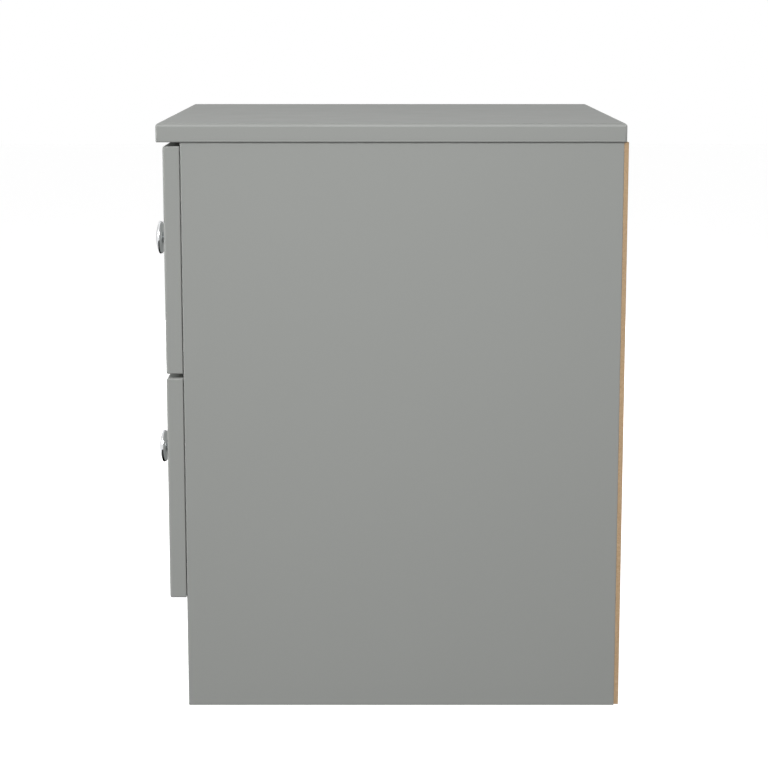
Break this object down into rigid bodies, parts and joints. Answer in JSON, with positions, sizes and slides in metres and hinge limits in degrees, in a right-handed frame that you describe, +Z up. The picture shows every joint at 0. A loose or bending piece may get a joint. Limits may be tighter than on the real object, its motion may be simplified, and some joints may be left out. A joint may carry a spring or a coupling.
{
  "type": "nightstand with drawers",
  "caption": "Bedside cabinet with overlay drawers on roller runners, round metal knobs, a thin oversailing top and a nailed-on hardboard back.",
  "frame": {"origin": "on the floor, at the middle of the footprint of the whole object with its knobs", "axes": "+X to the right of someone facing the drawers, +Y from the drawers to the back, +Z up"},
  "size_m": [0.38, 0.436, 0.5315],
  "materials": {
    "grey_foil": "matt grey foil wrapped over fibreboard and chipboard",
    "hardboard": "bare tan hardboard, smooth on its outer face",
    "box_foil": "pale grey paper foil over fibreboard",
    "coated_steel": "off-white powder coat",
    "nylon": "natural white moulded nylon",
    "zinc": "bright zinc plate",
    "chrome": "polished chrome plate"
  },
  "bodies": {
    "root": {"top_panel": "grey_foil", "side_panel_left": "grey_foil", "side_panel_right": "grey_foil", "base_panel": "grey_foil", "plinth": "grey_foil", "middle_rail": "grey_foil", "top_front_rail": "grey_foil", "top_back_rail": "grey_foil", "back_panel": "hardboard", "upper_cabinet_runner_left": "coated_steel", "upper_front_axle_left": "zinc", "upper_cabinet_runner_right": "coated_steel", "upper_front_axle_right": "zinc", "lower_cabinet_runner_left": "coated_steel", "lower_front_axle_left": "zinc", "lower_cabinet_runner_right": "coated_steel", "lower_front_axle_right": "zinc"},
    "upper_drawer": {"upper_drawer_front": "grey_foil", "upper_drawer_side_left": "box_foil", "upper_drawer_side_right": "box_foil", "upper_drawer_inner_front": "box_foil", "upper_drawer_back": "box_foil", "upper_drawer_bottom": "box_foil", "upper_knob": "chrome", "upper_knob_screw": "zinc", "upper_front_screw_left": "zinc", "upper_front_screw_right": "zinc", "upper_drawer_runner_left": "coated_steel", "upper_rear_axle_left": "zinc", "upper_drawer_runner_right": "coated_steel", "upper_rear_axle_right": "zinc"},
    "lower_drawer": {"lower_drawer_front": "grey_foil", "lower_drawer_side_left": "box_foil", "lower_drawer_side_right": "box_foil", "lower_drawer_inner_front": "box_foil", "lower_drawer_back": "box_foil", "lower_drawer_bottom": "box_foil", "lower_knob": "chrome", "lower_knob_screw": "zinc", "lower_front_screw_left": "zinc", "lower_front_screw_right": "zinc", "lower_drawer_runner_left": "coated_steel", "lower_rear_axle_left": "zinc", "lower_drawer_runner_right": "coated_steel", "lower_rear_axle_right": "zinc"},
    "lower_front_roller_left": {"lower_front_roller_left": "nylon"},
    "lower_front_roller_right": {"lower_front_roller_right": "nylon"},
    "lower_rear_roller_left": {"lower_rear_roller_left": "nylon"},
    "lower_rear_roller_right": {"lower_rear_roller_right": "nylon"},
    "upper_front_roller_left": {"upper_front_roller_left": "nylon"},
    "upper_front_roller_right": {"upper_front_roller_right": "nylon"},
    "upper_rear_roller_left": {"upper_rear_roller_left": "nylon"},
    "upper_rear_roller_right": {"upper_rear_roller_right": "nylon"}
  },
  "joints": [
    {"name": "upper_slide", "type": "slide", "parent": "root", "child": "upper_drawer", "axis": [0, -1, 0], "range_m": [0, 0.26]},
    {"name": "upper_front_roller_left_spin", "type": "hinge", "parent": "root", "child": "upper_front_roller_left", "pos_m": [-0.1675, -0.1632, 0.33005], "axis": [1, 0, 0], "range_deg": [0, 1864]},
    {"name": "upper_rear_roller_left_spin", "type": "hinge", "parent": "upper_drawer", "child": "upper_rear_roller_left", "pos_m": [-0.166, 0.16145, 0.3308], "axis": [1, 0, 0], "range_deg": [0, 1704]},
    {"name": "upper_front_roller_right_spin", "type": "hinge", "parent": "root", "child": "upper_front_roller_right", "pos_m": [0.1675, -0.1632, 0.33005], "axis": [1, 0, 0], "range_deg": [0, 1864]},
    {"name": "upper_rear_roller_right_spin", "type": "hinge", "parent": "upper_drawer", "child": "upper_rear_roller_right", "pos_m": [0.166, 0.16145, 0.3308], "axis": [1, 0, 0], "range_deg": [0, 1704]},
    {"name": "lower_slide", "type": "slide", "parent": "root", "child": "lower_drawer", "axis": [0, -1, 0], "range_m": [0, 0.26]},
    {"name": "lower_front_roller_left_spin", "type": "hinge", "parent": "root", "child": "lower_front_roller_left", "pos_m": [-0.1675, -0.1632, 0.12345], "axis": [1, 0, 0], "range_deg": [0, 1864]},
    {"name": "lower_rear_roller_left_spin", "type": "hinge", "parent": "lower_drawer", "child": "lower_rear_roller_left", "pos_m": [-0.166, 0.16145, 0.1242], "axis": [1, 0, 0], "range_deg": [0, 1704]},
    {"name": "lower_front_roller_right_spin", "type": "hinge", "parent": "root", "child": "lower_front_roller_right", "pos_m": [0.1675, -0.1632, 0.12345], "axis": [1, 0, 0], "range_deg": [0, 1864]},
    {"name": "lower_rear_roller_right_spin", "type": "hinge", "parent": "lower_drawer", "child": "lower_rear_roller_right", "pos_m": [0.166, 0.16145, 0.1242], "axis": [1, 0, 0], "range_deg": [0, 1704]}
  ],
  "couplings": [
    {"joint": "upper_front_roller_left_spin", "follows": "upper_slide", "rad_per_m": 125},
    {"joint": "upper_rear_roller_left_spin", "follows": "upper_slide", "rad_per_m": 114.29},
    {"joint": "upper_front_roller_right_spin", "follows": "upper_slide", "rad_per_m": 125},
    {"joint": "upper_rear_roller_right_spin", "follows": "upper_slide", "rad_per_m": 114.29},
    {"joint": "lower_front_roller_left_spin", "follows": "lower_slide", "rad_per_m": 125},
    {"joint": "lower_rear_roller_left_spin", "follows": "lower_slide", "rad_per_m": 114.29},
    {"joint": "lower_front_roller_right_spin", "follows": "lower_slide", "rad_per_m": 125},
    {"joint": "lower_rear_roller_right_spin", "follows": "lower_slide", "rad_per_m": 114.29}
  ]
}
